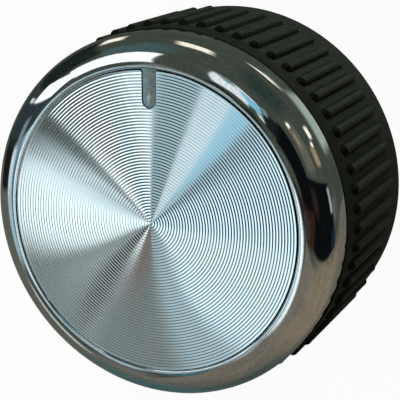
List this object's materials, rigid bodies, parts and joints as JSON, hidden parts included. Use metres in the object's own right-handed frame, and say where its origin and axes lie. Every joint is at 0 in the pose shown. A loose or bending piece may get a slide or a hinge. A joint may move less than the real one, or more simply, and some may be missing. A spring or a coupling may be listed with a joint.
{
  "type": "grill knob",
  "caption": "Round grill control knob with a ribbed black skirt, a crowned chrome bezel with a pointer tab, a spun aluminium face and a D-shaped stem socket in the back.",
  "frame": {"origin": "centre of the back rim's plane, on the knob's axis", "axes": "+Z along the knob's axis towards its face, +Y towards the pointer"},
  "size_m": [0.056, 0.056, 0.0325],
  "materials": {
    "body_plastic": "fine moulded texture, near black",
    "bezel_chrome": "bright chrome plating with faint wiping marks",
    "disc_aluminium": "turned concentric grooves",
    "adhesive_film": "thin adhesive film",
    "clip_steel": "rolled spring steel"
  },
  "bodies": {
    "root": {"knob_body": "body_plastic", "bezel": "bezel_chrome", "face_disc": "disc_aluminium", "disc_adhesive": "adhesive_film", "stem_clip": "clip_steel"}
  },
  "joints": []
}
